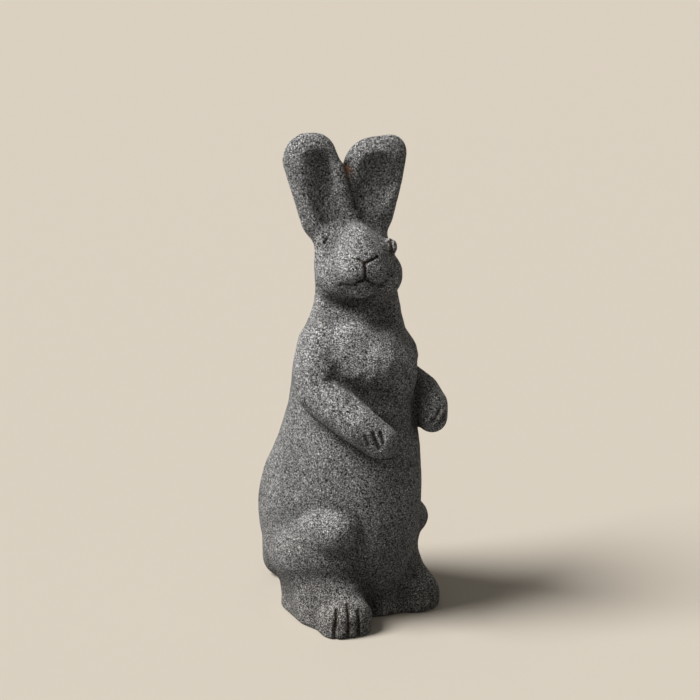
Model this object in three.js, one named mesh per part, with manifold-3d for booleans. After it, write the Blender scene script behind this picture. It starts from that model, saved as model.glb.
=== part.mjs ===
// Garden ornament: a rabbit standing up on its hind feet, cast in one piece from volcanic ash and
// cement, with a steel rod cast in behind each ear.
// Millimetres, +Z up. The rabbit faces -Y, so its own right side is -X. The origin is on the ground
// under the middle of the body. The head looks round to the rabbit's own right.
import * as THREE from 'three';
import { mergeVertices } from 'three/addons/utils/BufferGeometryUtils.js';
import Module from 'manifold-3d';

const wasm = await Module();
wasm.setup();

// Driving dimensions
const HEAD_AT = [0, -11, 290];      // middle of the head, which everything on the head is measured from
const HEAD_TURN = -32;              // degrees that the head is turned to the rabbit's own right
const CELL = 6;                     // size of one facet, about
const LOW = [-74, -86, -2 * CELL];  // corners of the space that the casting is worked out in
const HIGH = [74, 102, 403];
const SPARE = 10;                   // what is made below the ground, before the foot is cut flat there
const LEG_TOP = 125;                // no leg form reaches higher
const ARM_SPAN = [125, 265];        // lowest and highest that an arm form reaches
const HEAD_FOOT = 240;              // no head form reaches lower
const ROD_RADIUS = 3;
const ROD_FOOT = 3;                 // height of the rod's lower end above the ground
const ROD_TOP = 316;                // stone must stay over it where the ear is dished
const ROD_SIDES = 12;
const GAP = 0.3;                    // all round a rod, and at its top

// Each rod stands in the body under its ear and leans a little: [foot, top] as x, y.
const RODS = {
  ear_rod_right: [[-12, 6], [-14.4, 7.9]],
  ear_rod_left: [[14, -4], [19.2, -9.7]],
};

const CAST_STONE = new THREE.MeshStandardMaterial({ color: 0x62605c, roughness: 0.96, metalness: 0 });
const BAR_STEEL = new THREE.MeshStandardMaterial({ color: 0x6d6762, roughness: 0.55, metalness: 0.9 });

// The body is one smooth field: its value at a point is near the distance to the surface, and it is
// negative inside. Rounded forms are worked out one by one and melted into each other.

// An egg-shaped solid with its own radius along x, y and z, tipped forward about x by some degrees.
function egg(p, middle, radii, tip = 0) {
  const turn = THREE.MathUtils.degToRad(tip);
  const x = p[0] - middle[0];
  const dy = p[1] - middle[1];
  const dz = p[2] - middle[2];
  const y = dy * Math.cos(turn) + dz * Math.sin(turn);
  const z = -dy * Math.sin(turn) + dz * Math.cos(turn);
  const scaled = Math.hypot(x / radii[0], y / radii[1], z / radii[2]) + 1e-9;
  const slope = Math.hypot(x / radii[0] ** 2, y / radii[1] ** 2, z / radii[2] ** 2) + 1e-9;
  return scaled * (scaled - 1) / slope;
}

// The hull of two balls, given as [x, y, z, radius]. A flatness below 1 presses it thinner along y.
function stretch(p, a, b, flatness = 1) {
  const from = new THREE.Vector3(a[0], a[1] / flatness, a[2]);
  const along = new THREE.Vector3(b[0], b[1] / flatness, b[2]).sub(from);
  const length = along.length();
  const slope = THREE.MathUtils.clamp((a[3] - b[3]) / length, -0.95, 0.95);
  const place = new THREE.Vector3(p[0], p[1] / flatness, p[2]).sub(from);
  const run = place.dot(along) / length;
  const off = Math.sqrt(Math.max(place.lengthSq() - run * run, 0));
  const t = THREE.MathUtils.clamp(run - off * slope / Math.sqrt(1 - slope * slope), 0, length);
  return (Math.hypot(run - t, off) - (a[3] - slope * t)) * flatness;
}

// A limb through several balls.
function limb(p, balls, flatness = 1) {
  let nearest = Infinity;
  for (let i = 1; i < balls.length; i += 1) {
    nearest = Math.min(nearest, stretch(p, balls[i - 1], balls[i], flatness));
  }
  return nearest;
}

// Two forms melted together over a width in millimetres.
function melt(a, b, width) {
  const share = Math.max(width - Math.abs(a - b), 0) / width;
  return Math.min(a, b) - share * share * width / 4;
}

// Form a with form b scooped out of it, its edge rounded over a width.
function scoop(a, b, width) {
  return -melt(-a, b, width);
}

// Belly, rump, ribs and shoulders run into each other. The chest swells over them in four places, with
// the throat cut back under the chin and a hollow over the right forearm.
function trunk(p) {
  let body = melt(egg(p, [1, -4, 92], [51, 63, 98]), egg(p, [0, 28, 74], [51, 56, 74]), 22);
  body = melt(body, egg(p, [1, -5, 160], [44.5, 51, 80]), 30);
  body = melt(body, egg(p, [0, -9, 206], [43, 45, 48]), 22);
  body = melt(body, egg(p, [5, -29, 209], [29, 27, 25]), 7);
  body = melt(body, egg(p, [8, -39, 205], [23, 21, 23]), 9);
  body = melt(body, egg(p, [-22, -24, 224], [19, 18, 21]), 10);
  body = melt(body, neck(ontoHead(p)), 14);
  body = melt(body, egg(p, [-9, -38, 212], [21, 18, 20]), 10);
  body = scoop(body, egg(p, [5, -50, 249], [22, 18, 11.5]), 6);
  body = scoop(body, limb(p, [[-40, -50, 195, 12], [-14, -63, 189, 7]]), 10);
  return base(p, body);
}

// A column set back from the chin and cut in under the right cheek, in the head's own directions.
function neck(q) {
  const column = limb(q, [[2, 4, -85, 36], [2, 5, -42, 35.5], [1, 6, -8, 30]], 0.64);
  return scoop(column, limb(q, [[-34, -3, -25, 4], [-12, -21, -29, 7]]), 5);
}

// The foot of the casting, the steep wall between the feet, and the tail.
function base(p, body) {
  const foot = egg(p, [3, 10, 0], [44, 55, 50]);
  const wall = limb(p, [[14, -18, 52, 26], [15, -27, 4, 26]]);
  const tail = egg(p, [0, 79, 19], [16, 17.5, 20]);
  return melt(melt(melt(body, foot, 16), wall, 12), tail, 8);
}

// The legs and arms are given for a rabbit's left side and mirrored for its right.
const LEGS = {
  right: {
    thigh: [[31, 31, 46, 25], [39, 2, 56, 28.5], [44, -25, 80, 20.5], [45.5, -34, 81.5, 18]],
    calf: [[37, 4, 52, 27], [38, -20, 56, 23]],
    heel: [[26, 17, 26, 22.5], [36, -12, 22, 26]],
    foot: [[30, 13, 2, 23], [37, -16, 4, 26], [44, -44, 8, 20]],
    toes: [[54, -46, 11, 13], [40.5, -53, 14, 11]],
    soles: [[55, -48, 3, 12.5], [43, -53, 3, 12]],
    shin: [[34, -14, 50, 18], [36, -30, 26, 18]],
  },
  left: {
    thigh: [[31, 31, 46, 25], [38, 0, 56, 26], [41, -33, 72, 15]],
    calf: [[34, 4, 52, 24], [33, -20, 56, 18]],
    heel: [[24, 14, 24, 24], [28.5, -12, 22, 25.5]],
    foot: [[24, 16, 4, 23], [31, -16, 4, 25.5], [34, -46, 11, 18]],
    toes: [[37, -52, 9, 11], [28, -54, 9, 10]],
    soles: [[37, -53, 3, 10.5], [28, -54, 3, 9.5]],
    shin: [[24, -30, 56, 17], [32, -44, 8, 18]],
  },
};
const ARMS = {
  right: [[30, -6, 226, 21], [42, -10, 210, 19], [46, -16, 194, 17.5], [44, -36, 184, 17],
    [38, -55, 172, 15.5], [27.5, -66, 160.5, 14.5]],
  left: [[31, -9, 221, 21], [40, -12, 206, 21], [38, -20, 190, 16.5], [43.5, -42.5, 178.5, 15.3],
    [39.5, -56, 172.5, 14.5], [36, -62, 165, 12.5]],
};

// Thigh with the calf folded under it, and a foot with a blunt row of toes and an upright heel.
function leg(p, form) {
  const toes = melt(limb(p, form.toes), limb(p, form.soles), 2);
  const foot = melt(melt(limb(p, form.foot), toes, 10), limb(p, form.heel), 10);
  const thigh = melt(limb(p, form.thigh), limb(p, form.calf), 10);
  return melt(melt(thigh, foot, 11), limb(p, form.shin), 10);
}

function limbs(p, body) {
  for (const [side, sign] of [['right', -1], ['left', 1]]) {
    const q = [p[0] * sign, p[1], p[2]];
    if (p[2] < LEG_TOP) body = melt(body, leg(q, LEGS[side]), 7);
    if (p[2] > ARM_SPAN[0] && p[2] < ARM_SPAN[1]) body = melt(body, limb(q, ARMS[side]), 5);
  }
  return body;
}

// On the head, x is to the rabbit's own left, y to the back of the head and z up, from HEAD_AT. The
// eyes and the lines of the nose and mouth are finer than a facet, so they aren't in this solid.
function skull(q) {
  let head = egg(q, [-1, 4, 3], [26, 29, 25]);
  head = melt(head, egg(q, [-13.5, -7, -9], [19, 21, 20]), 7);
  head = melt(head, egg(q, [16, -7, -9], [20, 21, 20]), 7);
  head = melt(head, egg(q, [-1, -19, 2], [22, 23, 20]), 5);
  for (const side of [-1, 1]) {
    head = melt(head, egg(q, [side * 8 - 1, -31, -1], [10.5, 10, 9]), 3);
  }
  head = melt(head, egg(q, [-1, -24, -15], [11, 11, 8]), 5);
  head = melt(head, egg(q, [-1, -14, 17], [14, 18, 15], 30), 10);
  return melt(head, egg(q, [11, -12, 10], [16, 16, 12]), 8);
}

// The space cut out in front of an ear: inside the rim, which is a run of circles seen from the front,
// and in front of sloping planes, each given as its y at the middle and its rise in y along x and z.
function dish(q, rim, planes) {
  let inside = -limb([q[0], 0, q[2]], rim);
  for (const [start, across, up] of planes) {
    inside = melt(inside, start + across * q[0] + up * q[2] - q[1], 4);
  }
  return -inside;
}

// Each ear is a thick flattened paddle, dished in front. The right one ends in a low ridge along the
// crease between them, and a web closes the crease from behind.
function ears(q) {
  const flat = limb(q, [[-10.5, 6, 8, 13], [-20.5, 9, 36, 21.8], [-26, 10, 58, 23],
    [-34, 12, 81.5, 21.7]], 0.465);
  const right = melt(flat, limb(q, [[-4, 8, 38, 8], [-13.5, 9.5, 70.5, 7.5]]), 4);
  const rightRim = [[-20.5, 0, 41, 11], [-26.5, 0, 57, 13.2], [-31.2, 0, 77.5, 12]];
  const rightDish = dish(q, rightRim, [[15.5, 0.52, 0.095], [-9.5, -0.45, 0.115]]);
  const paddle = limb(q, [[9.5, 8, 8, 10.5], [15, 11, 36, 18], [17, 13, 58, 22],
    [17.5, 16, 71.5, 24]], 0.4);
  const left = melt(paddle, stretch(q, [18.5, 16, 71.5, 22], [31.5, 17, 84, 13.5], 0.55), 3);
  const leftRim = [[10, 0, 38, 8], [15.5, 0, 56, 15], [20, 0, 67.5, 17.5]];
  const leftDish = dish(q, leftRim, [[5.5, 0.5, 0], [16.5, 0, -0.09], [-9.5, 0, 0.35]]);
  const web = limb(q, [[-6, 14, 66, 8], [0.5, 13, 40, 9]]);
  return melt(melt(scoop(right, rightDish, 3), scoop(left, leftDish, 3), 1.5), web, 2);
}

function ontoHead(p) {
  const turn = THREE.MathUtils.degToRad(HEAD_TURN);
  const x = p[0] - HEAD_AT[0];
  const y = p[1] - HEAD_AT[1];
  return [
    x * Math.cos(turn) + y * Math.sin(turn),
    -x * Math.sin(turn) + y * Math.cos(turn),
    p[2] - HEAD_AT[2],
  ];
}

function rabbit(p) {
  let body = limbs(p, trunk(p));
  if (p[2] > HEAD_FOOT) {
    const q = ontoHead(p);
    body = melt(body, melt(skull(q), ears(q), 11), 7);
  }
  return Math.max(body, -SPARE - p[2]);
}

// The field's surface as facets: one vertex in each cell of a regular grid that the surface passes
// through, and two triangles across each grid edge that it cuts.
function facets(field) {
  const count = HIGH.map((top, axis) => Math.ceil((top - LOW[axis]) / CELL) + 1);
  const step = [1, count[0], count[0] * count[1]];
  const place = (cell) => cell.map((n, axis) => LOW[axis] + n * CELL);
  const values = new Float64Array(count[0] * count[1] * count[2]);
  const each = (size, visit) => {
    for (let k = 0; k < size[2]; k += 1) {
      for (let j = 0; j < size[1]; j += 1) {
        for (let i = 0; i < size[0]; i += 1) {
          visit([i, j, k], i * step[0] + j * step[1] + k * step[2]);
        }
      }
    }
  };
  each(count, (cell, index) => {
    values[index] = field(place(cell));
  });
  fillPinches(values, step);
  const vertices = [];
  const vertexOf = new Map();
  each(count.map((n) => n - 1), (cell, index) => {
    const found = middleOfCut(values, step, index);
    if (found) {
      vertexOf.set(index, vertices.length);
      vertices.push(settle(field, place(cell), found));
    }
  });
  const triangles = [];
  each(count.map((n) => n - 1), (cell, index) => {
    for (let axis = 0; axis < 3; axis += 1) {
      const inside = values[index] < 0;
      if (inside === (values[index + step[axis]] < 0)) continue;
      const b = step[(axis + 1) % 3];
      const c = step[(axis + 2) % 3];
      const ring = [index, index - b, index - b - c, index - c].map((n) => vertexOf.get(n));
      triangles.push(...twoTriangles(vertices, inside ? ring : ring.reverse()));
    }
  });
  return { vertices, triangles };
}

// Where stone meets stone only across a corner, as between a paw and the belly, the narrow space
// beside it is filled, so that no two sheets of the surface share an edge.
function fillPinches(values, step) {
  let filled = true;
  while (filled) {
    filled = false;
    for (const [b, c] of [[step[0], step[1]], [step[1], step[2]], [step[2], step[0]]]) {
      for (let index = 0; index + b + c < values.length; index += 1) {
        const [first, second, third, fourth] = [index, index + b, index + b + c, index + c];
        const inside = [first, second, third, fourth].map((n) => values[n] < 0);
        if (inside[0] !== inside[2] || inside[1] !== inside[3] || inside[0] === inside[1]) continue;
        const open = inside[0] ? [second, fourth] : [first, third];
        values[values[open[0]] < values[open[1]] ? open[0] : open[1]] = -0.1;
        filled = true;
      }
    }
  }
}

// The mean of the points where the surface cuts a cell's twelve edges, as parts of the cell.
function middleOfCut(values, step, index) {
  const sum = [0, 0, 0];
  let cuts = 0;
  for (let axis = 0; axis < 3; axis += 1) {
    const b = (axis + 1) % 3;
    const c = (axis + 2) % 3;
    for (const [u, v] of [[0, 0], [1, 0], [0, 1], [1, 1]]) {
      const start = index + u * step[b] + v * step[c];
      const here = values[start];
      const there = values[start + step[axis]];
      if ((here < 0) === (there < 0)) continue;
      sum[axis] += here / (here - there);
      sum[b] += u;
      sum[c] += v;
      cuts += 1;
    }
  }
  return cuts ? sum.map((total) => total / cuts) : null;
}

// That point moved onto the surface in three part steps, without leaving its cell.
function settle(field, corner, part) {
  const p = corner.map((low, axis) => low + part[axis] * CELL);
  const reach = 0.05 * CELL;
  for (let round = 0; round < 3; round += 1) {
    const value = field(p);
    const slope = [0, 1, 2].map((axis) => {
      const q = [...p];
      q[axis] += reach;
      return (field(q) - value) / reach;
    });
    const steepness = Math.max(slope[0] ** 2 + slope[1] ** 2 + slope[2] ** 2, 0.5);
    for (let axis = 0; axis < 3; axis += 1) {
      const moved = p[axis] - 0.7 * value * slope[axis] / steepness;
      p[axis] = THREE.MathUtils.clamp(moved, corner[axis] + reach, corner[axis] + CELL - reach);
    }
  }
  return p;
}

// A ring of four vertices split across its shorter diagonal.
function twoTriangles(vertices, [a, b, c, d]) {
  const apart = (m, n) => Math.hypot(...vertices[m].map((v, axis) => v - vertices[n][axis]));
  return apart(a, c) < apart(b, d) ? [a, b, c, a, c, d] : [a, b, d, b, c, d];
}

function solidOf(geometry) {
  const bare = geometry.clone();
  bare.deleteAttribute('normal');
  bare.deleteAttribute('uv');
  const merged = mergeVertices(bare, 1e-4);
  return new wasm.Manifold(new wasm.Mesh({
    numProp: 3,
    vertProperties: Float32Array.from(merged.attributes.position.array),
    triVerts: Uint32Array.from(merged.index.array),
  }));
}

function geometryOf(solid) {
  const mesh = solid.getMesh();
  const geometry = new THREE.BufferGeometry();
  geometry.setAttribute('position', new THREE.BufferAttribute(mesh.vertProperties, 3));
  geometry.setIndex(new THREE.BufferAttribute(mesh.triVerts, 1));
  geometry.computeVertexNormals();
  return geometry;
}

// A straight round bar between two points.
function bar(from, to, radius) {
  const start = new THREE.Vector3(...from);
  const along = new THREE.Vector3(...to).sub(start);
  const geometry = new THREE.CylinderGeometry(radius, radius, along.length(), ROD_SIDES);
  const up = new THREE.Vector3(0, 1, 0);
  const turn = new THREE.Quaternion().setFromUnitVectors(up, along.clone().normalize());
  return geometry.applyQuaternion(turn).translate(...start.addScaledVector(along, 0.5));
}

function castingGeometry() {
  const skin = facets(rabbit);
  const raw = new THREE.BufferGeometry();
  raw.setAttribute('position', new THREE.Float32BufferAttribute(skin.vertices.flat(), 3));
  raw.setIndex(skin.triangles);
  const ground = new THREE.BoxGeometry(300, 300, 100).translate(0, 0, -50);
  let casting = solidOf(raw).subtract(solidOf(ground));
  for (const [foot, top] of Object.values(RODS)) {
    const lean = [(top[0] - foot[0]) / (ROD_TOP - ROD_FOOT), (top[1] - foot[1]) / (ROD_TOP - ROD_FOOT)];
    const below = [foot[0] - 8 * lean[0], foot[1] - 8 * lean[1], ROD_FOOT - 8];
    const channel = bar(below, [...top, ROD_TOP + GAP], ROD_RADIUS + GAP);
    casting = casting.subtract(solidOf(channel));
  }
  return geometryOf(casting);
}

const ornament = new THREE.Group();
ornament.name = 'rabbit_ornament';

const casting = new THREE.Mesh(castingGeometry(), CAST_STONE);
casting.name = 'stone_casting';
ornament.add(casting);

for (const [name, [foot, top]] of Object.entries(RODS)) {
  const rod = new THREE.Mesh(bar([...foot, ROD_FOOT], [...top, ROD_TOP], ROD_RADIUS), BAR_STEEL);
  rod.name = name;
  ornament.add(rod);
}

export default ornament;
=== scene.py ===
"""Garden rabbit in dark cast stone: the weathered, grained casting and its two steel rods, on a pale floor."""

import math

import bmesh
import bpy
import numpy as np
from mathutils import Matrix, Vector


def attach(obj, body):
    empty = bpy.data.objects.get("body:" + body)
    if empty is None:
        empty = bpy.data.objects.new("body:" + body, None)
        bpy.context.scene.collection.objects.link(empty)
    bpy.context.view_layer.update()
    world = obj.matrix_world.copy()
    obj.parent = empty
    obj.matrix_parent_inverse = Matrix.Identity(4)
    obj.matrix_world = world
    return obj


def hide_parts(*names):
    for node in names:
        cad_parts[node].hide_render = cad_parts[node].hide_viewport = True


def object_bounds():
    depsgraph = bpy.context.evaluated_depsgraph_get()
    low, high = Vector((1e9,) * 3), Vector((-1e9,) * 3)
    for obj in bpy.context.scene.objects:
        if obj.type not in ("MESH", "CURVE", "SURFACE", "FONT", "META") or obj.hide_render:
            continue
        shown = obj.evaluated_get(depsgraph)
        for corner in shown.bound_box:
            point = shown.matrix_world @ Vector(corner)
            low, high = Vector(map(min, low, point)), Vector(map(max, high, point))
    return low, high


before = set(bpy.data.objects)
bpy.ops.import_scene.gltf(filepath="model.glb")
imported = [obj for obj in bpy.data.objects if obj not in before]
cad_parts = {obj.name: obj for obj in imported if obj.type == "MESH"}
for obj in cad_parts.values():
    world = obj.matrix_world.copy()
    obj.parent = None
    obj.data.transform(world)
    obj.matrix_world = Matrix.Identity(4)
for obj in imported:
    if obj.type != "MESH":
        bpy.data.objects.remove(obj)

bl_info = {
    "name": "Cast Stone Garden Rabbit",
    "version": (1, 0, 0),
    "blender": (4, 5, 0),
    "location": "3D View > Sidebar > Garden Rabbit",
    "description": "Models the stone skin, the carved lines and the grain of a cast garden rabbit",
    "category": "Object",
}

CAD_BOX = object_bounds()
FLOAT = np.float32

# The casting's forms are in millimetres in the part's frame: -Y is the way the body faces and -X is
# the rabbit's own right. Blender's metres come in only when a mesh is made.
MM = 0.001

HEAD_AT = (0.0, -11.0, 290.0)
HEAD_TURN = -32.0  # degrees, to the rabbit's own right

VIEW_AZIMUTH = -44.0
VIEW_ELEVATION = 16.0
AIM = (0.0, 0.0, 215.0)
AIM_RIGHT = 3.24  # the aim point is this far to the camera's right of AIM
SENSOR = 36.0
KEY_AZIMUTH = -75.0  # the key lamp, round from the camera
KEY_ELEVATION = 50.0
KEY_SPREAD = 30.0  # degrees across, as a large softbox close by
SKY_COLOUR = (1.0, 0.98, 0.95, 1.0)
FLOOR_BOUNCE = 0.12  # how light the floor is to the rays that light the stone

ROD_NODES = ("ear_rod_right", "ear_rod_left")
ROD_CHANNEL = 3.3  # radius
ROD_HEADROOM = 0.3  # from a rod's top to the end of its channel

# The grid that the skin is found in reaches past the casting on all sides, and a few cells under the ground.
SKIN_LOW = (-74, -86)
SKIN_HIGH = (74, 102, 403)
CELLS_UNDER = 2.5
EASING = 1.0  # the skin is held back over this much before each side of the CAD model's box

# A limb is a run of balls, each (x, y, z, radius), given for the left side and mirrored for the right.
LEGS = {
    "right": {
        "thigh": ((31, 31, 46, 25), (39, 2, 56, 28.5), (44, -25, 80, 20.5), (45.5, -34, 81.5, 18)),
        "calf": ((37, 4, 52, 27), (38, -20, 56, 23)),
        "heel": ((26, 17, 26, 22.5), (36, -12, 22, 26)),
        "foot": ((30, 13, 2, 23), (37, -16, 4, 26), (44, -44, 8, 20)),
        "toes": ((54, -46, 11, 13), (40.5, -53, 14, 11)),
        "soles": ((55, -48, 3, 12.5), (43, -53, 3, 12)),
        "shin": ((34, -14, 50, 18), (36, -30, 26, 18)),
    },
    "left": {
        "thigh": ((31, 31, 46, 25), (38, 0, 56, 26), (41, -33, 72, 15)),
        "calf": ((34, 4, 52, 24), (33, -20, 56, 18)),
        "heel": ((24, 14, 24, 24), (28.5, -12, 22, 25.5)),
        "foot": ((24, 16, 4, 23), (31, -16, 4, 25.5), (34, -46, 11, 18)),
        "toes": ((37, -52, 9, 11), (28, -54, 9, 10)),
        "soles": ((37, -53, 3, 10.5), (28, -54, 3, 9.5)),
        "shin": ((24, -30, 56, 17), (32, -44, 8, 18)),
    },
}
ARMS = {
    "right": ((30, -6, 226, 21), (42, -10, 210, 19), (46, -16, 194, 17.5), (44, -36, 184, 17),
              (38, -55, 172, 15.5), (27.5, -66, 160.5, 14.5)),
    "left": ((31, -9, 221, 21), (40, -12, 206, 21), (38, -20, 190, 16.5), (43.5, -42.5, 178.5, 15.3),
             (39.5, -56, 172.5, 14.5), (36, -62, 165, 12.5)),
}

# Carved lines, each a run of points with its half width, its depth and the azimuth that it is cut from: 0 is
# from the front (-Y), 90 from the left. These are on the body.
TOE_LINES = (
    (((-59.8, -51.4, 22), (-65.5, -55, 5), (-66, -56, 0)), 1.4, 3.0, -40),
    (((-51.8, -55.7, 25), (-56.4, -60.2, 3), (-57, -61, 0)), 1.4, 3.4, -35),
    (((-45.8, -61.2, 21), (-48.4, -64, 3), (-49, -65, 0)), 1.4, 3.0, -30),
    (((24, -63, 18), (23, -66, 0)), 1.4, 1.3, 0),
    (((32, -64, 20), (32, -66, 0)), 1.4, 1.5, 5),
    (((40, -62, 18), (42, -64, 0)), 1.4, 1.3, 10),
)
PAW_LINES = (
    (((-45.5, -68.5, 168.5), (-42.4, -70, 160.7)), 1.1, 1.8, -40),
    (((-39.8, -71.5, 170.2), (-36.6, -75.5, 157.9)), 1.3, 3.0, -35),
    (((-34.5, -73.3, 170.6), (-33.9, -77.3, 162.8)), 1.2, 2.6, -20),
    (((36, -71.2, 174), (30.2, -72.2, 168), (26.8, -69.8, 163.6)), 1.2, 2.6, -10),
    (((40.6, -73, 168.8), (32.2, -73.4, 162.5), (30, -71.6, 160.2)), 1.2, 2.6, 0),
)
# These are on the head: x to its own left, y to its back, z up, from HEAD_AT.
FACE_LINES = (
    (((-1.3, -39, 8.4), (-0.8, -39.5, 2), (-0.4, -38.5, -4)), 1.0, 3.2, -12),  # between the lips
    (((-1.3, -39, 8.2), (3.3, -38, 9.7), (9.6, -34.5, 11.6)), 1.0, 3.0, -12),  # nostrils
    (((-1.3, -39, 8.2), (-3.6, -38.6, 9.7), (-6.5, -37.4, 11.4)), 0.9, 2.0, -12),
    (((-0.4, -38.5, -4), (6.7, -34.5, -9.3), (11.4, -30, -12.4), (15.8, -26, -13.6)), 1.1, 4.0, -12),  # mouth
    (((-0.4, -38.5, -4), (-6.5, -38, -7), (-11.6, -34, -9.6), (-17.5, -28, -11)), 1.1, 3.0, -12),
    (((-26.2, -3.7, 17), (-24.4, -4.5, 21)), 1.1, 2.6, -45),  # eyes
    (((24.5, -18, 19.4), (24.5, -21, 15.5), (24, -22, 11)), 1.2, 3.0, -25),
    (((-31, -4, -18), (-27, -14, -22), (-18, -22, -25)), 2.6, 2.4, -40),  # under the right cheek
    # down the crease between the ears
    (((-7, 6.5, 75), (-6.1, 4.5, 69.8), (-3.9, 3.6, 60.3), (-1.5, 2.9, 50.8), (0.4, 2.1, 43)), 1.4, 2.4, -12),
)
FINE_REACH = 4.0  # facets are halved this near to a carved line
# Each eye's middle and half width. The right one barely shows under its lid.
EYES = (((-21.5, -1, 17.5), 3.5), ((24.4, -15.5, 14.5), 5.4))
# Air holes that show on the muzzle, each its middle and radius.
AIR_HOLES = (
    ((-6.2, -36, 18.4), 0.9), ((-14.4, -35.5, 8.9), 0.8), ((-12.3, -40.3, 2), 0.8), ((-17.2, -37.2, -2.5), 0.9),
    ((3.4, -40.5, 5.8), 0.7), ((-8, -40.8, 4.7), 0.7),
)
# Low swells of the chest fur that are finer than the casting's own forms, each its middle, radius and height.
FUR_SWELLS = (((-8, -57, 215), 12, 3.0), ((6, -58, 189), 14, 2.4), ((-47, -28, 213), 10, 1.6))
CHEST_HEIGHT, CHEST_SPREAD = 212, 26  # where the fur is combed
STROKE_SIZE = (3.4, 9, 15)  # wavelength of the strokes across, in depth and along

# The hollows are painted darker: partly brown dust, partly painted shade.
DUST_AND_SHADE_WAYS = ((1.3, 0.9), (4.0, 0.35), (14.0, 0.12))  # how far out stone is looked for, and what it counts
# Ridges are painted lighter and hollows darker: partly wear, partly painted light and painted shade.
WEAR_AND_SHADE_WAY = 12.0  # how far to each side a ridge is looked for
# The stone is painted darker towards the ground: partly damp earth, partly painted shade near the floor.
DAMP_AND_SHADE_HEIGHT = 52
RUST_AT, RUST_SPREAD = (-4.5, 7, 71.5), (3.2, 9, 4.2)  # the stain's middle and spread, on the head

# Shares of the grain, as stops from 0 to 1: a third black, a third ash, and the rest pale to bright.
GRAIN_STOPS = ((0.0, "dark_grain"), (0.31, "dark_grain"), (0.46, "ash"), (0.72, "ash"), (0.88, "pale_grain"),
               (1.0, "bright_grain"))
# Half of what wear, painted light and painted shade leave of the colour, from a hollow painted dark to a ridge
# painted light.
WEAR_AND_SHADE_STOPS = ((0.0, 0.26), (0.4, 0.45), (0.6, 0.56), (0.85, 0.66), (1.0, 0.68))
CLOUDS = ((26.0, 0.86, 1.14), (5.0, 0.94, 1.06))  # wavelength, darkest and lightest
PIT_SPACING = 9.0
PIT_RADIUS = 0.12  # of the largest pit, as a share of the spacing
PIT_DEPTH = 0.8
GRIT_WIDTH = 2.6
RUST_PATCH = 4.0  # width of a patch of rust on the rods
FLAKE_HEIGHT = 0.15


def linear(hex_colour):
    """An sRGB hex value as linear red, green and blue with full alpha."""
    parts = [int(hex_colour[i : i + 2], 16) / 255 for i in (1, 3, 5)]
    parts = [v / 12.92 if v <= 0.04045 else ((v + 0.055) / 1.055) ** 2.4 for v in parts]
    return (*parts, 1.0)


def egg(p, middle, radii, tip=0.0):
    """Near-distance to an egg-shaped solid: n (n - 1) / m, where n is the length of the offset divided by the
    radii and m the length of the offset divided by the radii squared. It is tipped about x by some degrees."""
    c, s = math.cos(math.radians(tip)), math.sin(math.radians(tip))
    x = p[:, 0] - middle[0]
    dy = p[:, 1] - middle[1]
    dz = p[:, 2] - middle[2]
    y = dy * c + dz * s
    z = dz * c - dy * s
    a, b, c = radii
    n = np.sqrt((x / a) ** 2 + (y / b) ** 2 + (z / c) ** 2) + 1e-6
    m = np.sqrt((x / a**2) ** 2 + (y / b**2) ** 2 + (z / c**2) ** 2) + 1e-6
    return n * (n - 1) / m


def limb(p, balls, flatness=1.0):
    """Distance to the hull of each two neighbouring balls, the least of them: the distance from the line between
    their middles, less the radius at the nearest place on it. A flatness below 1 presses it thinner along y."""
    squeeze = np.array((1, 1 / flatness, 1), FLOAT)
    q = p * squeeze
    nearest = None
    for first, second in zip(balls, balls[1:]):
        a = np.array(first[:3], FLOAT) * squeeze
        along = np.array(second[:3], FLOAT) * squeeze - a
        length = float(np.linalg.norm(along))
        slope = min(max((first[3] - second[3]) / length, -0.95), 0.95)
        place = q - a
        run = place @ (along / length)
        off = np.sqrt(np.maximum((place * place).sum(1) - run * run, 0))
        t = np.clip(run - off * slope / math.sqrt(1 - slope * slope), 0, length)
        gap = (np.hypot(run - t, off) - (first[3] - slope * t)) * flatness
        nearest = gap if nearest is None else np.minimum(nearest, gap)
    return nearest


def melt(a, b, width):
    """Two forms run together: the smaller value, lowered by width / 4 where they are equal and less beside it."""
    share = np.maximum(width - np.abs(a - b), 0) / width
    return np.minimum(a, b) - share * share * width / 4


def scoop(a, b, width):
    """Form a with form b taken out, its edge rounded over a width."""
    return -melt(-a, b, width)


def carve(p, lines):
    """How deep the carved lines cut at each point: each line's depth times a bell curve of the distance to it. The
    part of the distance that lies along the way the line is cut counts for a third."""
    cut = np.zeros(len(p), FLOAT)
    for points, half_width, depth, azimuth in lines:
        inward = np.array((-math.sin(math.radians(azimuth)), math.cos(math.radians(azimuth)), 0), FLOAT)
        for first, second in zip(points, points[1:]):
            a = np.array(first, FLOAT)
            along = np.array(second, FLOAT) - a
            place = p - a
            t = np.clip(place @ along / float(along @ along), 0, 1)
            away = place - t[:, None] * along
            away -= (away @ inward)[:, None] * inward * (2 / 3)
            cut = np.maximum(cut, depth * np.exp(-(away * away).sum(1) / half_width**2))
    return cut


def within(p, low, high, form, margin=34.0):
    """A form worked out only in its own box, grown by a margin. Elsewhere the distance to that box does."""
    gap = np.maximum(np.maximum(np.array(low, FLOAT) - margin - p, p - np.array(high, FLOAT) - margin), 0)
    value = np.sqrt((gap * gap).sum(1)) + margin
    inside = gap.max(1) == 0
    value[inside] = form(p[inside])
    return value


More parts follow.
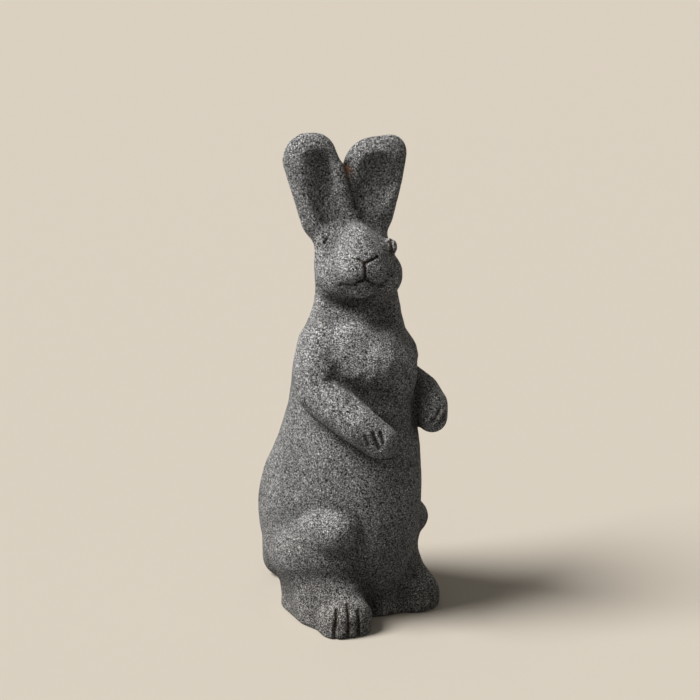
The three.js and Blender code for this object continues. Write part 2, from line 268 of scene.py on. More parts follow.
def trunk(p):
    """Belly, rump, ribs, shoulders, the four swells of the chest, neck, base and tail, melted together from the
    largest down, with a cut under the chin and the hollow that the chest fur leaves over the right forearm."""
    body = melt(egg(p, (1, -4, 92), (51, 63, 98)), egg(p, (0, 28, 74), (51, 56, 74)), 22)  # belly, rump
    body = melt(body, egg(p, (1, -5, 160), (44.5, 51, 80)), 30)  # ribs
    body = melt(body, egg(p, (0, -9, 206), (43, 45, 48)), 22)  # shoulders
    body = melt(body, egg(p, (5, -29, 209), (29, 27, 25)), 7)  # the chest's swells
    body = melt(body, egg(p, (8, -39, 205), (23, 21, 23)), 9)
    body = melt(body, egg(p, (-22, -24, 224), (19, 18, 21)), 10)
    body = melt(body, neck(onto_head(p)), 14)
    body = melt(body, egg(p, (-9, -38, 212), (21, 18, 20)), 10)
    body = scoop(body, egg(p, (5, -50, 249), (22, 18, 11.5)), 6)  # under the chin
    body = scoop(body, limb(p, ((-40, -50, 195, 12), (-14, -63, 189, 7))), 10)  # over the forearm
    body = melt(body, egg(p, (3, 10, 0), (44, 55, 50)), 16)  # base
    body = melt(body, limb(p, ((14, -18, 52, 26), (15, -27, 4, 26))), 12)  # between the legs
    return melt(body, egg(p, (0, 79, 19), (16, 17.5, 20)), 8)  # tail


def neck(q):
    """A column as wide as the head but less deep, so that the chin stands out over it, cut in under the cheek."""
    column = limb(q, ((2, 4, -85, 36), (2, 5, -42, 35.5), (1, 6, -8, 30)), 0.64)
    return scoop(column, limb(q, ((-34, -3, -25, 4), (-12, -21, -29, 7))), 5)


def leg(p, form):
    """Thigh and the folded calf under it, foot with its blunt row of toes, the upright side of the heel, shin."""
    toes = melt(limb(p, form["toes"]), limb(p, form["soles"]), 2)
    foot = melt(limb(p, form["foot"]), toes, 10)
    foot = melt(foot, limb(p, form["heel"]), 10)
    thigh = melt(limb(p, form["thigh"]), limb(p, form["calf"]), 10)
    return melt(melt(thigh, foot, 11), limb(p, form["shin"]), 10)


def skull(q):
    """Skull, cheeks, round muzzle, lip pads, chin, bridge of the nose, the left brow and the lidded eyes."""
    head = egg(q, (-1, 4, 3), (26, 29, 25))
    head = melt(head, egg(q, (-13.5, -7, -9), (19, 21, 20)), 7)  # cheeks
    head = melt(head, egg(q, (16, -7, -9), (20, 21, 20)), 7)
    head = melt(head, egg(q, (-1, -19, 2), (22, 23, 20)), 5)  # muzzle
    for side in (-1, 1):
        head = melt(head, egg(q, (side * 8 - 1, -31, -1), (10.5, 10, 9)), 3)  # lip pads
    head = melt(head, egg(q, (-1, -24, -15), (11, 11, 8)), 5)  # chin
    head = melt(head, egg(q, (-1, -14, 17), (14, 18, 15), 30), 10)  # bridge of the nose
    head = melt(head, egg(q, (11, -12, 10), (16, 16, 12)), 8)  # left brow
    for eye, size in EYES:
        head = melt(head, egg(q, eye, (size, size * 1.4, size * 1.2)), 3)
    return head


def dish(q, rim, planes):
    """The space cut out in front of an ear: inside the rim, which is a run of circles seen from the front, and in
    front of sloping planes, each given as its y at the middle and its rise in y along x and z."""
    inside = -limb(q * np.array((1, 0, 1), FLOAT), rim)
    for start, across, up in planes:
        inside = melt(inside, start + across * q[:, 0] + up * q[:, 2] - q[:, 1], 4)
    return -inside


def ears(q):
    """Two thick paddles, each dished in front, the right one with a low ridge along the crease between them, and a
    web behind that crease."""
    right = limb(q, ((-10.5, 6, 8, 13), (-20.5, 9, 36, 21.8), (-26, 10, 58, 23), (-34, 12, 81.5, 21.7)), 0.465)
    right = melt(right, limb(q, ((-4, 8, 38, 8), (-13.5, 9.5, 70.5, 7.5))), 4)
    rim = ((-20.5, 0, 41, 11), (-26.5, 0, 57, 13.2), (-31.2, 0, 77.5, 12))
    right = scoop(right, dish(q, rim, ((15.5, 0.52, 0.095), (-9.5, -0.45, 0.115))), 3)
    left = limb(q, ((9.5, 8, 8, 10.5), (15, 11, 36, 18), (17, 13, 58, 22), (17.5, 16, 71.5, 24)), 0.4)
    left = melt(left, limb(q, ((18.5, 16, 71.5, 22), (31.5, 17, 84, 13.5)), 0.55), 3)
    rim = ((10, 0, 38, 8), (15.5, 0, 56, 15), (20, 0, 67.5, 17.5))
    left = scoop(left, dish(q, rim, ((5.5, 0.5, 0), (16.5, 0, -0.09), (-9.5, 0, 0.35))), 3)
    web = limb(q, ((-6, 14, 66, 8), (0.5, 13, 40, 9)))
    return melt(melt(right, left, 1.5), web, 2)


def onto_head(p):
    """The points in the head's own directions: moved to its middle and turned back by the head's turn."""
    c, s = math.cos(math.radians(HEAD_TURN)), math.sin(math.radians(HEAD_TURN))
    x, y, z = (p - np.array(HEAD_AT, FLOAT)).T
    return np.stack((x * c + y * s, y * c - x * s, z), 1)


def head_and_ears(p):
    """Skull and ears melted together, with the lines of the face carved in."""
    q = onto_head(p)
    return melt(skull(q), ears(q), 11) + carve(q, FACE_LINES)


def points_of(mesh):
    """A mesh's vertices in millimetres."""
    co = np.empty(len(mesh.vertices) * 3, FLOAT)
    mesh.vertices.foreach_get("co", co)
    return co.reshape(-1, 3) / MM


def rod_ends(node):
    """The middles of a rod's two end faces, in millimetres: its vertices' mean in each half of its height."""
    co = points_of(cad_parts[node].data)
    halfway = (co[:, 2].min() + co[:, 2].max()) / 2
    return co[co[:, 2] < halfway].mean(0), co[co[:, 2] > halfway].mean(0)


def rod_channels(p):
    """Distance to the two straight channels that the rods lie in: each the larger of the distance past its wall
    and the height past its flat end. They run out through the underside."""
    nearest = np.full(len(p), 1e3, FLOAT)
    for node in ROD_NODES:
        foot, top = rod_ends(node)
        length = np.linalg.norm(top - foot)
        along = (p - foot) @ ((top - foot) / length)
        across = np.linalg.norm(p - foot - along[:, None] * ((top - foot) / length), axis=1)
        nearest = np.minimum(nearest, np.maximum(across - ROD_CHANNEL, along - length - ROD_HEADROOM))
    return nearest


def rabbit(p):
    """The whole casting as one field, negative inside: trunk, legs, arms and head, carved, cut flat at the ground,
    with the rods' channels."""
    body = trunk(p)
    for side, sign in (("right", -1), ("left", 1)):
        q = p * np.array((sign, 1, 1), FLOAT)
        body = melt(body, within(q, (0, -75, -30), (75, 65, 115), lambda s: leg(s, LEGS[side])), 7)
        body = melt(body, within(q, (10, -80, 145), (65, 20, 250), lambda s: limb(s, ARMS[side])), 5)
    body = melt(body, within(p, (-55, -62, 252), (55, 45, 400), head_and_ears), 7)
    low = p[:, 2] < 60
    body[low] += carve(p[low], TOE_LINES)
    paws = (p[:, 2] > 145) & (p[:, 2] < 190) & (p[:, 1] < -45)
    body[paws] += carve(p[paws], PAW_LINES)
    body = scoop(body, p[:, 2], 2.5)
    return np.maximum(body, -within(p, (-16, -12, -20), (22, 10, 336), rod_channels, 6))


def skin_grid(field, low, high, cell):
    """The field's surface as quads. One vertex lies in each cell of a regular grid that the surface passes
    through, at the mean of the points where it cuts the cell's edges, and one quad crosses each cut grid edge."""
    low = np.array(low, FLOAT)
    count = np.ceil((np.array(high) - low) / cell).astype(int) + 1
    axes = [low[i] + np.arange(count[i]) * cell for i in range(3)]
    grid = np.stack(np.meshgrid(*axes, indexing="ij"), -1).reshape(-1, 3).astype(FLOAT)
    value = field(grid).reshape(count)
    inside = value < 0
    total = np.zeros((*(count - 1), 3), FLOAT)
    cuts = np.zeros(count - 1, FLOAT)
    for axis in range(3):
        here, there = np.moveaxis(value, axis, 0)[:-1], np.moveaxis(value, axis, 0)[1:]
        crossed = (here < 0) != (there < 0)
        share = np.where(crossed, here / np.where(crossed, here - there, 1), 0)
        share, crossed = np.moveaxis(share, 0, axis), np.moveaxis(crossed, 0, axis)
        others = [i for i in range(3) if i != axis]
        for u in (0, 1):
            for v in (0, 1):
                part = [slice(None)] * 3
                part[others[0]] = slice(u, u + count[others[0]] - 1)
                part[others[1]] = slice(v, v + count[others[1]] - 1)
                part = tuple(part)
                total[..., axis] += share[part]
                total[..., others[0]] += u * crossed[part]
                total[..., others[1]] += v * crossed[part]
                cuts += crossed[part]
    filled = cuts > 0
    number = np.full(filled.shape, -1)
    number[filled] = np.arange(filled.sum())
    places = np.argwhere(filled)
    points = low + (places + total[filled] / cuts[filled][:, None]) * cell
    return points, quads_across(inside, number), low + places * cell


def quads_across(inside, number):
    """For every grid edge with one end inside, the four cells round it, in the order that faces outwards."""
    quads = []
    for axis in range(3):
        b, c = (axis + 1) % 3, (axis + 2) % 3
        here = np.moveaxis(inside, axis, 0)[:-1]
        there = np.moveaxis(inside, axis, 0)[1:]
        edges = np.argwhere(np.moveaxis(here != there, 0, axis))
        edges = edges[(edges[:, b] > 0) & (edges[:, c] > 0)]
        step_b, step_c = np.eye(3, dtype=int)[b], np.eye(3, dtype=int)[c]
        ring = [number[tuple((edges - shift).T)] for shift in (0, step_b, step_b + step_c, step_c)]
        ring = np.stack(ring, 1)
        outward = inside[tuple(edges.T)]
        quads.append(np.where(outward[:, None], ring, ring[:, ::-1]))
    return np.concatenate(quads)


def slope_of(field, p, reach=0.5):
    """The field's slope at each point, from its difference over a small distance along each axis."""
    steps = np.eye(3, dtype=FLOAT) * reach
    return np.stack([(field(p + s) - field(p - s)) / (2 * reach) for s in steps], 1)


def settle(field, p, low, cell, rounds=3):
    """Points moved onto the surface by Newton's step, value over slope, kept inside their own cells."""
    for _ in range(rounds):
        value = field(p)
        slope = slope_of(field, p)
        step = (value / np.maximum((slope * slope).sum(1), 0.25))[:, None] * slope
        p = np.clip(p - step, low + 0.04 * cell, low + 0.96 * cell).astype(FLOAT)
    return p


def stone_noise(p, wavelength, seed):
    """Smooth random relief from -1 to 1: random values at the corners of a lattice, eased between them."""
    q = p / np.array(wavelength, FLOAT)
    cell = np.floor(q)
    t = q - cell
    t = t * t * (3 - 2 * t)
    cell = cell.astype(np.int64)
    total = np.zeros(len(p))
    for corner in np.ndindex(2, 2, 2):
        x, y, z = (cell + corner).T
        h = (x * 374761393 + y * 668265263 + z * 2147483647 + seed * 1013904223) & 0xFFFFFFFF
        h = ((h ^ (h >> 13)) * 1274126177) & 0xFFFFFFFF
        h = (h ^ (h >> 16)) & 0xFFFFFF
        weight = np.prod(np.where(corner, t, 1 - t), axis=1)
        total += weight * (h / 0x7FFFFF - 1)
    return total.astype(FLOAT)


def add_node(tree, kind, settings=None, links=None, stops=()):
    """A new node with its settings, by input name, index or attribute, its links, as input: output socket, and
    the (place, linear colour) stops of its ramp."""
    node = tree.nodes.new(kind)
    for name, value in (settings or {}).items():
        if isinstance(name, int) or name in node.inputs:
            node.inputs[name].default_value = value
        else:
            setattr(node, name, value)
    for name, socket in (links or {}).items():
        tree.links.new(socket, node.inputs[name])
    for number, (place, colour) in enumerate(stops):
        ramp = node.color_ramp.elements
        element = ramp[number] if number < len(ramp) else ramp.new(place)
        element.position = place
        element.color = colour
    return node


def blank_tree(owner):
    """The node tree of a material or world, with only its output node left in it."""
    owner.use_nodes = True
    for node in list(owner.node_tree.nodes):
        if not node.type.startswith("OUTPUT"):
            owner.node_tree.nodes.remove(node)
    return owner.node_tree


def grey(value):
    """A grey of a linear value, with full alpha."""
    return (value, value, value, 1.0)


def per_metre(wavelength_mm):
    """A texture scale in cells per metre from a real size in millimetres."""
    return 1000.0 / wavelength_mm


def cast_stone(look):
    """Cast stone: volcanic sand and fine ash bound with cement, tamped in a mould and left unsealed. Sharp black,
    grey and pale grains give the eye salt and pepper at arm's length, an even dark grey further off, and no gloss.
    Air pits painted near black as their shade, brown dust and painted shade in the creases, damp earth and painted
    shade towards the foot, wear and painted light on the ridges, and one iron stain break it up."""
    material = bpy.data.materials.new("cast_stone_volcanic_sand")
    tree = blank_tree(material)
    place = add_node(tree, "ShaderNodeTexCoord").outputs["Object"]
    # The real sand runs on down to powder. Grains of one width, about the least that the picture shows, stand for
    # it all.
    grain = add_node(tree, "ShaderNodeTexVoronoi", {"Scale": per_metre(look.grain / MM)}, {"Vector": place})
    tone = add_node(tree, "ShaderNodeSeparateColor", links={"Color": grain.outputs["Color"]})
    colour = add_node(tree, "ShaderNodeValToRGB", links={"Fac": tone.outputs["Red"]},
                      stops=[(stop, getattr(look, name)) for stop, name in GRAIN_STOPS]).outputs["Color"]
    # Cloudiness where the mix was wetter or tamped harder, over a few centimetres and over a few millimetres.
    for wavelength, low, high in CLOUDS:
        noise = add_node(tree, "ShaderNodeTexNoise", {"Scale": per_metre(wavelength), "Detail": 3.0},
                         {"Vector": place})
        cloud = add_node(tree, "ShaderNodeValToRGB", links={"Fac": noise.outputs["Fac"]},
                         stops=((0.3, grey(low)), (0.7, grey(high))))
        colour = add_node(tree, "ShaderNodeMix", {"data_type": "RGBA", "blend_type": "MULTIPLY", 0: 1.0},
                          {6: colour, 7: cloud.outputs["Color"]}).outputs[2]
    # Ridges are painted pale and hollows dark: partly wear from weather and hands, partly painted light and
    # painted shade.
    worn = add_node(tree, "ShaderNodeAttribute", {"attribute_name": "worn"})
    rubbed_and_shaded = add_node(tree, "ShaderNodeValToRGB", links={"Fac": worn.outputs["Fac"]},
                      stops=[(stop, grey(half)) for stop, half in WEAR_AND_SHADE_STOPS])
    factor = add_node(tree, "ShaderNodeVectorMath", {"operation": "SCALE", "Scale": 2.0},
                      {0: rubbed_and_shaded.outputs["Color"]})
    colour = add_node(tree, "ShaderNodeMix", {"data_type": "RGBA", "blend_type": "MULTIPLY", 0: 1.0},
                      {6: colour, 7: factor.outputs[0]}).outputs[2]
    # Painted shade with real dust and damp: the hollows darken by the dust colour and the stone near the ground by
    # the earth colour.
    for name, tint in (("hollow", look.dust_and_shade), ("damp", look.earth_and_shade)):
        share = add_node(tree, "ShaderNodeAttribute", {"attribute_name": name}).outputs["Fac"]
        colour = add_node(tree, "ShaderNodeMix", {"data_type": "RGBA", "blend_type": "MULTIPLY", 7: tint},
                          {0: share, 6: colour}).outputs[2]
    stain = add_node(tree, "ShaderNodeAttribute", {"attribute_name": "rust"}).outputs["Fac"]
    colour = add_node(tree, "ShaderNodeMix", {"data_type": "RGBA", 7: look.rust}, {0: stain, 6: colour}).outputs[2]
    # Air pits up to 2 mm across, in cells 9 mm wide, pressed in and painted near black for the shade inside them.
    # A little over half the cells have none.
    pits = add_node(tree, "ShaderNodeTexVoronoi", {"Scale": per_metre(PIT_SPACING)}, {"Vector": place})
    chosen = add_node(tree, "ShaderNodeSeparateColor", links={"Color": pits.outputs["Color"]})
    size = add_node(tree, "ShaderNodeMapRange",
                    {"From Min": 0.55, "From Max": 1.0, "To Min": 0.0, "To Max": PIT_RADIUS},
                    {"Value": chosen.outputs["Green"]})
    shaded_pit = add_node(tree, "ShaderNodeMath", {"operation": "LESS_THAN"},
                   {0: pits.outputs["Distance"], 1: size.outputs[0]}).outputs[0]
    colour = add_node(tree, "ShaderNodeMix", {"data_type": "RGBA", 7: look.shaded_pit}, {0: shaded_pit, 6: colour}).outputs[2]
    rough = add_node(tree, "ShaderNodeTexNoise",
                     {"Scale": per_metre(GRIT_WIDTH), "Detail": 3.0, "Roughness": 0.65}, {"Vector": place})
    grit = add_node(tree, "ShaderNodeBump", {"Strength": 1.0, "Distance": look.grit},
                    {"Height": rough.outputs["Fac"]})
    sand = add_node(tree, "ShaderNodeBump", {"Strength": 1.0, "Distance": look.sand, "invert": True},
                    {"Height": grain.outputs["Distance"], "Normal": grit.outputs["Normal"]})
    holes = add_node(tree, "ShaderNodeBump", {"Strength": 1.0, "Distance": PIT_DEPTH * MM, "invert": True},
                     {"Height": shaded_pit, "Normal": sand.outputs["Normal"]})
    shader = add_node(tree, "ShaderNodeBsdfPrincipled", {"Roughness": 0.95, "IOR": 1.5, "Specular IOR Level": 0.3},
                      {"Base Color": colour, "Normal": holes.outputs["Normal"]})
    tree.links.new(shader.outputs[0], tree.nodes["Material Output"].inputs["Surface"])
    return material


def rod_steel(look):
    """Mild steel bar, hot rolled and left uncoated, so the eye gets a dull blue-grey scale that shines a little,
    with matt patches of thin brown rust."""
    material = bpy.data.materials.new("rod_steel_hot_rolled")
    tree = blank_tree(material)
    place = add_node(tree, "ShaderNodeTexCoord").outputs["Object"]
    patch = add_node(tree, "ShaderNodeTexNoise",
                     {"Scale": per_metre(RUST_PATCH), "Detail": 5.0, "Roughness": 0.7},
                     {"Vector": place}).outputs["Fac"]
    flakes = add_node(tree, "ShaderNodeBump", {"Strength": 0.6, "Distance": FLAKE_HEIGHT * MM}, {"Height": patch})
    parts = {"Normal": flakes.outputs[0]}
    for name, scale, rust in (("Base Color", look.steel, look.rod_rust), ("Metallic", grey(0.9), grey(0.15)),
                              ("Roughness", grey(0.45), grey(0.85))):
        blend = add_node(tree, "ShaderNodeValToRGB", links={"Fac": patch}, stops=((0.42, scale), (0.6, rust)))
        parts[name] = blend.outputs[0]
    shader = add_node(tree, "ShaderNodeBsdfPrincipled", None, parts)
    tree.links.new(shader.outputs[0], tree.nodes["Material Output"].inputs["Surface"])
    return material


def seen_ray(tree):
    """1 for the rays that show the background itself: those from the camera, and in gloss or through glass."""
    path = add_node(tree, "ShaderNodeLightPath")
    either = add_node(tree, "ShaderNodeMath", {"operation": "MAXIMUM"},
                      {0: path.outputs["Is Camera Ray"], 1: path.outputs["Is Glossy Ray"]})
    return add_node(tree, "ShaderNodeMath", {"operation": "MAXIMUM"},
                    {0: either.outputs[0], 1: path.outputs["Is Transmission Ray"]}).outputs[0]


def plain_paper(look):
    """The floor: uncoated warm paper, laid flat, so it has no gloss at all and takes a soft even shadow. What it
    throws back onto the stone is held down to a dim grey."""
    material = bpy.data.materials.new("floor_matt_paper")
    tree = blank_tree(material)
    colour = add_node(tree, "ShaderNodeMix", {"data_type": "RGBA", 6: grey(FLOOR_BOUNCE), 7: look.paper},
                      {0: seen_ray(tree)})
    shader = add_node(tree, "ShaderNodeBsdfPrincipled", {"Roughness": 0.9, "Specular IOR Level": 0.2},
                      {"Base Color": colour.outputs[2]})
    tree.links.new(shader.outputs[0], tree.nodes["Material Output"].inputs["Surface"])
    return material


def mesh_object(name, points, faces, material):
    """A smooth-shaded mesh object in metres at the origin, from points in millimetres."""
    mesh = bpy.data.meshes.new(name)
    mesh.from_pydata((np.asarray(points, float) * MM).tolist(), [], faces.tolist())
    mesh.materials.append(material)
    mesh.shade_smooth()
    piece = bpy.data.objects.new(name, mesh)
    bpy.context.scene.collection.objects.link(piece)
    return piece


def halve_edges(mesh, marked):
    """Halves each edge that has both its ends marked, and splits the faces beside it to fit."""
    ends = np.empty(len(mesh.edges) * 2, np.int32)
    mesh.edges.foreach_get("vertices", ends)
    chosen = np.flatnonzero(marked[ends.reshape(-1, 2)].all(1))
    work = bmesh.new()
    work.from_mesh(mesh)
    work.edges.ensure_lookup_table()
    bmesh.ops.subdivide_edges(work, edges=[work.edges[i] for i in chosen], cuts=1, use_grid_fill=True)
    work.to_mesh(mesh)
    work.free()
    mesh.shade_smooth()


def view_axes(azimuth, elevation):
    """Right, up and back of what looks from an azimuth, 0 along +Y, and an elevation above the horizon."""
    a, e = math.radians(azimuth), math.radians(elevation)
    back = Vector((math.sin(a) * math.cos(e), -math.cos(a) * math.cos(e), math.sin(e)))
    right = Vector((math.cos(a), math.sin(a), 0))
    return right, back.cross(right), back


class StoneSize(bpy.types.PropertyGroup):
    """Sizes of the casting's skin."""

    facet: bpy.props.FloatProperty(
        name="Facet", description="Width of one facet of the skin",
        default=0.0017, min=0.001, max=0.006, precision=4, unit="LENGTH")
    waves: bpy.props.FloatProperty(
        name="Unevenness", description="Height of the broad hand-modelled unevenness",
        default=0.00055, min=0.0, max=0.002, precision=5, unit="LENGTH")
    pecks: bpy.props.FloatProperty(
        name="Pecking", description="Height of the close pecked relief",
        default=0.00012, min=0.0, max=0.001, precision=5, unit="LENGTH")
    strokes: bpy.props.FloatProperty(
        name="Fur strokes", description="Depth of the combed fur strokes on the chest",
        default=0.001, min=0.0, max=0.002, precision=5, unit="LENGTH")
    seed: bpy.props.IntProperty(
        name="Seed", description="Seed of the random relief",
        default=7)


class StoneLook(bpy.types.PropertyGroup):
    """Colours and grain of the casting and the rods."""

    ash: bpy.props.FloatVectorProperty(
        name="Ash", description="The ash and cement between the grains",
        subtype="COLOR", size=4, min=0.0, max=1.0, default=linear("#898887"))
    dark_grain: bpy.props.FloatVectorProperty(
        name="Dark grain", description="The black sand",
        subtype="COLOR", size=4, min=0.0, max=1.0, default=linear("#1B1B1A"))
    pale_grain: bpy.props.FloatVectorProperty(
        name="Pale grain", description="The grey sand",
        subtype="COLOR", size=4, min=0.0, max=1.0, default=linear("#C0BFBD"))
    bright_grain: bpy.props.FloatVectorProperty(
        name="Bright grain", description="The lightest sand",
        subtype="COLOR", size=4, min=0.0, max=1.0, default=linear("#F6F4F0"))
    # The dust colour darkens the hollows as painted shade as well as dust.
    dust_and_shade: bpy.props.FloatVectorProperty(
        name="Dust", description="What brown dust in the hollows leaves of the colour",
        subtype="COLOR", size=4, min=0.0, max=1.0, default=linear("#B0A596"))
    # The earth colour darkens the stone near the ground as painted shade as well as damp.
    earth_and_shade: bpy.props.FloatVectorProperty(
        name="Earth", description="What damp earth round the foot leaves of the colour",
        subtype="COLOR", size=4, min=0.0, max=1.0, default=linear("#D6D3CE"))
    # The pit colour is painted shade inside the air pits.
    shaded_pit: bpy.props.FloatVectorProperty(
        name="Pit", description="Down in an air pit",
        subtype="COLOR", size=4, min=0.0, max=1.0, default=linear("#121110"))
    rust: bpy.props.FloatVectorProperty(
        name="Rust tint", description="The iron stain between the ears",
        subtype="COLOR", size=4, min=0.0, max=1.0, default=linear("#9A5C28"))
    steel: bpy.props.FloatVectorProperty(
        name="Steel", description="The rods' mill scale",
        subtype="COLOR", size=4, min=0.0, max=1.0, default=linear("#6F6F70"))
    rod_rust: bpy.props.FloatVectorProperty(
        name="Rod rust", description="The rust on the rods",
        subtype="COLOR", size=4, min=0.0, max=1.0, default=linear("#6A3E22"))
    grain: bpy.props.FloatProperty(
        name="Grain", description="Width of a sand grain",
        default=0.0006, min=0.0004, max=0.005, precision=5, unit="LENGTH")
    sand: bpy.props.FloatProperty(
        name="Grain height", description="How far a grain stands proud",
        default=0.0004, min=0.0, max=0.002, precision=5, unit="LENGTH")
    grit: bpy.props.FloatProperty(
        name="Grit", description="Height of the coarse grit relief",
        default=0.0002, min=0.0, max=0.003, precision=5, unit="LENGTH")


class StageLook(bpy.types.PropertyGroup):
    """Floor, lamp, world and camera."""

    paper: bpy.props.FloatVectorProperty(
        name="Paper", description="The floor and what lies behind it",
        subtype="COLOR", size=4, min=0.0, max=1.0, default=linear("#D8CEBF"))
    key: bpy.props.FloatProperty(
        name="Key light", description="Strength of the key lamp, in watts per square metre",
        default=3.6, min=0.0, max=10.0)
    sky: bpy.props.FloatProperty(
        name="Sky", description="Strength of the even light from all round",
        default=0.14, min=0.0, max=2.0)
    floor_size: bpy.props.FloatProperty(
        name="Floor", description="Width of the floor",
        default=16.0, min=1.0, unit="LENGTH")
    lens: bpy.props.FloatProperty(
        name="Lens", description="Focal length on a 36 mm frame",
        default=115.2, min=20.0, unit="CAMERA")
    distance: bpy.props.FloatProperty(
        name="Distance", description="From the camera to the aim point",
        default=1.8, min=0.5, unit="LENGTH")


class OBJECT_OT_rabbit_casting(bpy.types.Operator):
    """The stone casting: the whole rabbit in one piece, uneven, carved and cut flat underneath"""

    bl_idname = "object.rabbit_casting"
    bl_label = "Stone Casting"

    def execute(self, context):
        size, look = context.scene.stone_size, context.scene.stone_look
        cell = size.facet / MM
        points, quads, low = skin_grid(rabbit, (*SKIN_LOW, -CELLS_UNDER * cell), SKIN_HIGH, cell)
        points = settle(rabbit, points.astype(FLOAT), low, cell)
        piece = mesh_object("stone_skin", points, quads, cast_stone(look))
        halve_edges(piece.data, self.fine_places(points))
        points = points_of(piece.data)
        points = settle(rabbit, points, points - cell / 4, cell / 2, 2)
        slope = slope_of(rabbit, points)
        steep = np.maximum(np.linalg.norm(slope, axis=1), 0.3)
        normal = slope / steep[:, None]
        # Masks for painted shade in the hollows and near the ground and painted light on the ridges, together with
        # dust, wear and damp; and the iron stain.
        self.paint(piece.data, "hollow", self.hollow_dust_and_shade(points, normal, steep))
        self.paint(piece.data, "worn", self.wear_and_shade(points, steep))
        self.paint(piece.data, "damp", self.damp_and_shade_share(points))
        self.paint(piece.data, "rust", self.rust_stain(points))
        points = points + normal * self.relief(points, normal, size)[:, None]
        points = self.inside_box(points)
        piece.data.vertices.foreach_set("co", (points * MM).ravel())
        piece.data.update()
        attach(piece, "root")
        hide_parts("stone_casting")
        return {"FINISHED"}

    def inside_box(self, p):
        """The points held inside the CAD model's box. From a millimetre before each side on, a point is put short
        of the side by the exponential of minus its way past there. The ground only stops what would go under."""
        low, high = np.array(CAD_BOX) / MM
        over = np.maximum(p - high + EASING, 0)
        p = np.where(over > 0, high - np.exp(-over), p)
        over = np.maximum(low + EASING - p, 0) * (1, 1, 0)
        p = np.where(over > 0, low + np.exp(-over), p)
        p[:, 2] = np.maximum(p[:, 2], 0)
        return p

    def fine_places(self, p):
        """The points that need facets half as wide: the muzzle, and the sides of every carved line, as far out as
        where its bell curve, drawn wider, falls to 0.37."""
        q = onto_head(p)
        fine = (q[:, 1] < -10) & (np.abs(q[:, 2]) < 24)
        for place, lines in ((q, FACE_LINES), (p, TOE_LINES), (p, PAW_LINES)):
            fine |= carve(place, [(points, FINE_REACH, 1.0, azimuth) for points, _, _, azimuth in lines]) > 0.37
        return fine

    def hollow_dust_and_shade(self, p, normal, steep):
        """How closed in each point is, which sets the painted shade and the dust in the hollows: what the field a
        way out along the normal falls short of that way times the slope, as a share of it, weighted and summed
        over three ways."""
        closed = np.zeros(len(p), FLOAT)
        for way, share in DUST_AND_SHADE_WAYS:
            closed += share * np.clip(1 - rabbit(p + normal * way) / (way * steep), 0, 1)
        return np.clip(closed, 0, 1)

    def wear_and_shade(self, p, steep):
        """How pale or dark the stone is painted, for wear and for painted light and shade, from 0 in a hollow
        through about
        0.6 on a flank to 1 on a ridge: the mean of the field at the six points one way off along the axes, less
                                        the field at the point, over that way."""
        about = sum(rabbit(p + s) + rabbit(p - s) for s in np.eye(3, dtype=FLOAT) * WEAR_AND_SHADE_WAY) / 6 - rabbit(p)
        return np.clip(0.5 + 2.5 * about / (WEAR_AND_SHADE_WAY * steep) + 0.05 * stone_noise(p, 9, 31), 0, 1)

    def damp_and_shade_share(self, p):
        """Damp and earth drawn up from the ground, with painted shade near the floor: a bell curve of the height,
        ragged by noise.
        """
        height = p[:, 2] * (1 + 0.35 * stone_noise(p, 16, 21))
        return np.clip(np.exp(-((height / DAMP_AND_SHADE_HEIGHT) ** 2)) * (0.9 + 0.2 * stone_noise(p, 7, 22)), 0, 1)

    def relief(self, p, normal, size):
        """Height of the relief in millimetres: broad waves, close pecking and, on the chest, slanting strokes. Fur
        swells on the chest and air holes on the muzzle are each a bell curve of the distance from its middle. It
        fades out on the underside."""
        waves = 0.6 * stone_noise(p, 21, size.seed) + 0.4 * stone_noise(p, 10, size.seed + 1)
        pecks = stone_noise(p, 4.2, size.seed + 2)
        chest = np.exp(-(((p[:, 2] - CHEST_HEIGHT) / CHEST_SPREAD) ** 2)) * np.clip(-p[:, 1] / 40, 0, 1)
        side = np.abs(p[:, 0])
        slanted = np.stack((side + 0.5 * p[:, 2], p[:, 1], p[:, 2] - 0.5 * side), 1)
        strokes = stone_noise(slanted, STROKE_SIZE, size.seed + 3)
        proud = (size.waves * waves + size.pecks * pecks + size.strokes * chest * strokes) / MM
        for middle, radius, height in FUR_SWELLS:
            proud += height * np.exp(-((p - np.array(middle, FLOAT)) ** 2).sum(1) / radius**2)
        q = onto_head(p)
        for middle, radius in AIR_HOLES:
            proud -= 1.8 * radius * np.exp(-((q - np.array(middle, FLOAT)) ** 2).sum(1) / radius**2)
        under = np.clip(normal[:, 2] * -4 - 2.5, 0, 1)
        return proud * (1 - under)

    def rust_stain(self, p):
        """Strength of the iron stain: a bell curve round the top of the crease between the ears, in streaks."""
        away = (onto_head(p) - np.array(RUST_AT, FLOAT)) / np.array(RUST_SPREAD, FLOAT)
        return np.clip(np.exp(-(away * away).sum(1)) * (0.7 + 1.2 * stone_noise(p, (1.6, 3, 4), 11)), 0, 1)

    def paint(self, mesh, name, values):
        """One value for each vertex, under a name that the material reads."""
        layer = mesh.attributes.new(name, "FLOAT", "POINT")
        layer.data.foreach_set("value", values.astype(FLOAT))


class OBJECT_OT_rabbit_rods(bpy.types.Operator):
    """The two steel rods cast in under the ears: their own solids with a rolled steel finish"""

    bl_idname = "object.rabbit_rods"
    bl_label = "Ear Rods"

    def execute(self, context):
        steel = rod_steel(context.scene.stone_look)
        for node in ROD_NODES:
            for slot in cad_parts[node].material_slots:
                slot.material = steel
        return {"FINISHED"}


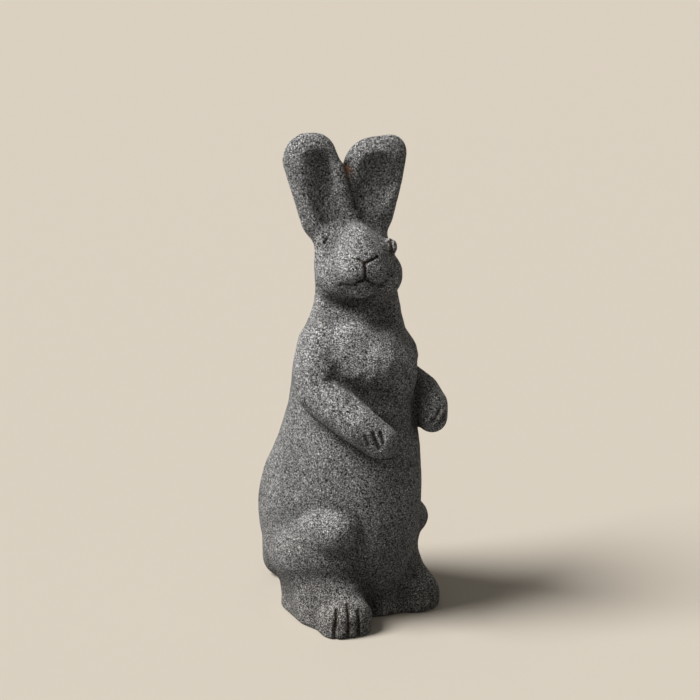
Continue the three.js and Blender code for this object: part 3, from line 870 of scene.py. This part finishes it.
class OBJECT_OT_rabbit_stage(bpy.types.Operator):
    """Floor, world, key lamp and camera"""

    bl_idname = "object.rabbit_stage"
    bl_label = "Stage"

    def execute(self, context):
        look = context.scene.stage_look
        self.floor(look)
        self.world(context, look)
        self.lamp(look)
        self.camera(context, look)
        return {"FINISHED"}

    def floor(self, look):
        """One square, flat at the ground."""
        half = look.floor_size / 2 / MM
        corners = np.array(((-half, -half, 0), (half, -half, 0), (half, half, 0), (-half, half, 0)))
        mesh_object("floor", corners, np.array(((0, 1, 2, 3),)), plain_paper(look))

    def world(self, context, look):
        """Even light from all round. The rays that show the background see the paper's colour instead."""
        context.scene.world = bpy.data.worlds.new("even_light")
        tree = blank_tree(context.scene.world)
        light = add_node(tree, "ShaderNodeBackground", {"Color": SKY_COLOUR, "Strength": look.sky})
        shown = add_node(tree, "ShaderNodeBackground", {"Color": look.paper, "Strength": 1.0})
        both = add_node(tree, "ShaderNodeMixShader", None,
                        {0: seen_ray(tree), 1: light.outputs[0], 2: shown.outputs[0]})
        tree.links.new(both.outputs[0], tree.nodes["World Output"].inputs["Surface"])

    def lamp(self, look):
        """A large softbox to the viewer's upper left, far enough to light the whole object alike."""
        sun = bpy.data.lights.new("key", "SUN")
        sun.energy = look.key
        sun.angle = math.radians(KEY_SPREAD)
        lamp = bpy.data.objects.new("key", sun)
        bpy.context.scene.collection.objects.link(lamp)
        towards = view_axes(VIEW_AZIMUTH + KEY_AZIMUTH, KEY_ELEVATION)[2]
        lamp.rotation_euler = towards.to_track_quat("Z", "Y").to_euler()

    def camera(self, context, look):
        """The photograph's view: 44 degrees round to the rabbit's own right and 16 degrees above."""
        right, _, back = view_axes(VIEW_AZIMUTH, VIEW_ELEVATION)
        aim = (Vector(AIM) + right * AIM_RIGHT) * MM
        camera = bpy.data.objects.new("camera", bpy.data.cameras.new("camera"))
        bpy.context.scene.collection.objects.link(camera)
        camera.data.lens = look.lens
        camera.data.sensor_width = SENSOR
        camera.location = aim + back * look.distance
        camera.rotation_euler = back.to_track_quat("Z", "Y").to_euler()
        context.scene.camera = camera


class VIEW3D_PT_garden_rabbit(bpy.types.Panel):
    """Lists the rabbit's operators and settings"""

    bl_label = "Garden Rabbit"
    bl_idname = "VIEW3D_PT_garden_rabbit"
    bl_space_type = "VIEW_3D"
    bl_region_type = "UI"
    bl_category = "Garden Rabbit"

    def draw(self, context):
        for name, group in GROUPS.items():
            box = self.layout.box()
            for setting in group.__annotations__:
                box.prop(getattr(context.scene, name), setting)
        for operator in OPERATORS:
            self.layout.operator(operator.bl_idname)


GROUPS = {"stone_size": StoneSize, "stone_look": StoneLook, "stage_look": StageLook}
OPERATORS = (OBJECT_OT_rabbit_casting, OBJECT_OT_rabbit_rods, OBJECT_OT_rabbit_stage)


def register():
    """Adds the settings, the operators and the panel."""
    for name, group in GROUPS.items():
        bpy.utils.register_class(group)
        setattr(bpy.types.Scene, name, bpy.props.PointerProperty(type=group))
    for part in (*OPERATORS, VIEW3D_PT_garden_rabbit):
        bpy.utils.register_class(part)


def unregister():
    """Takes away the panel, the operators and the settings."""
    for part in (VIEW3D_PT_garden_rabbit, *reversed(OPERATORS)):
        bpy.utils.unregister_class(part)
    for name, group in reversed(GROUPS.items()):
        delattr(bpy.types.Scene, name)
        bpy.utils.unregister_class(group)


def main():
    """Makes every piece and the stage."""
    register()
    bpy.context.scene.view_settings.view_transform = "Standard"
    bpy.ops.object.rabbit_casting()
    bpy.ops.object.rabbit_rods()
    bpy.ops.object.rabbit_stage()


if __name__ == "__main__":
    main()
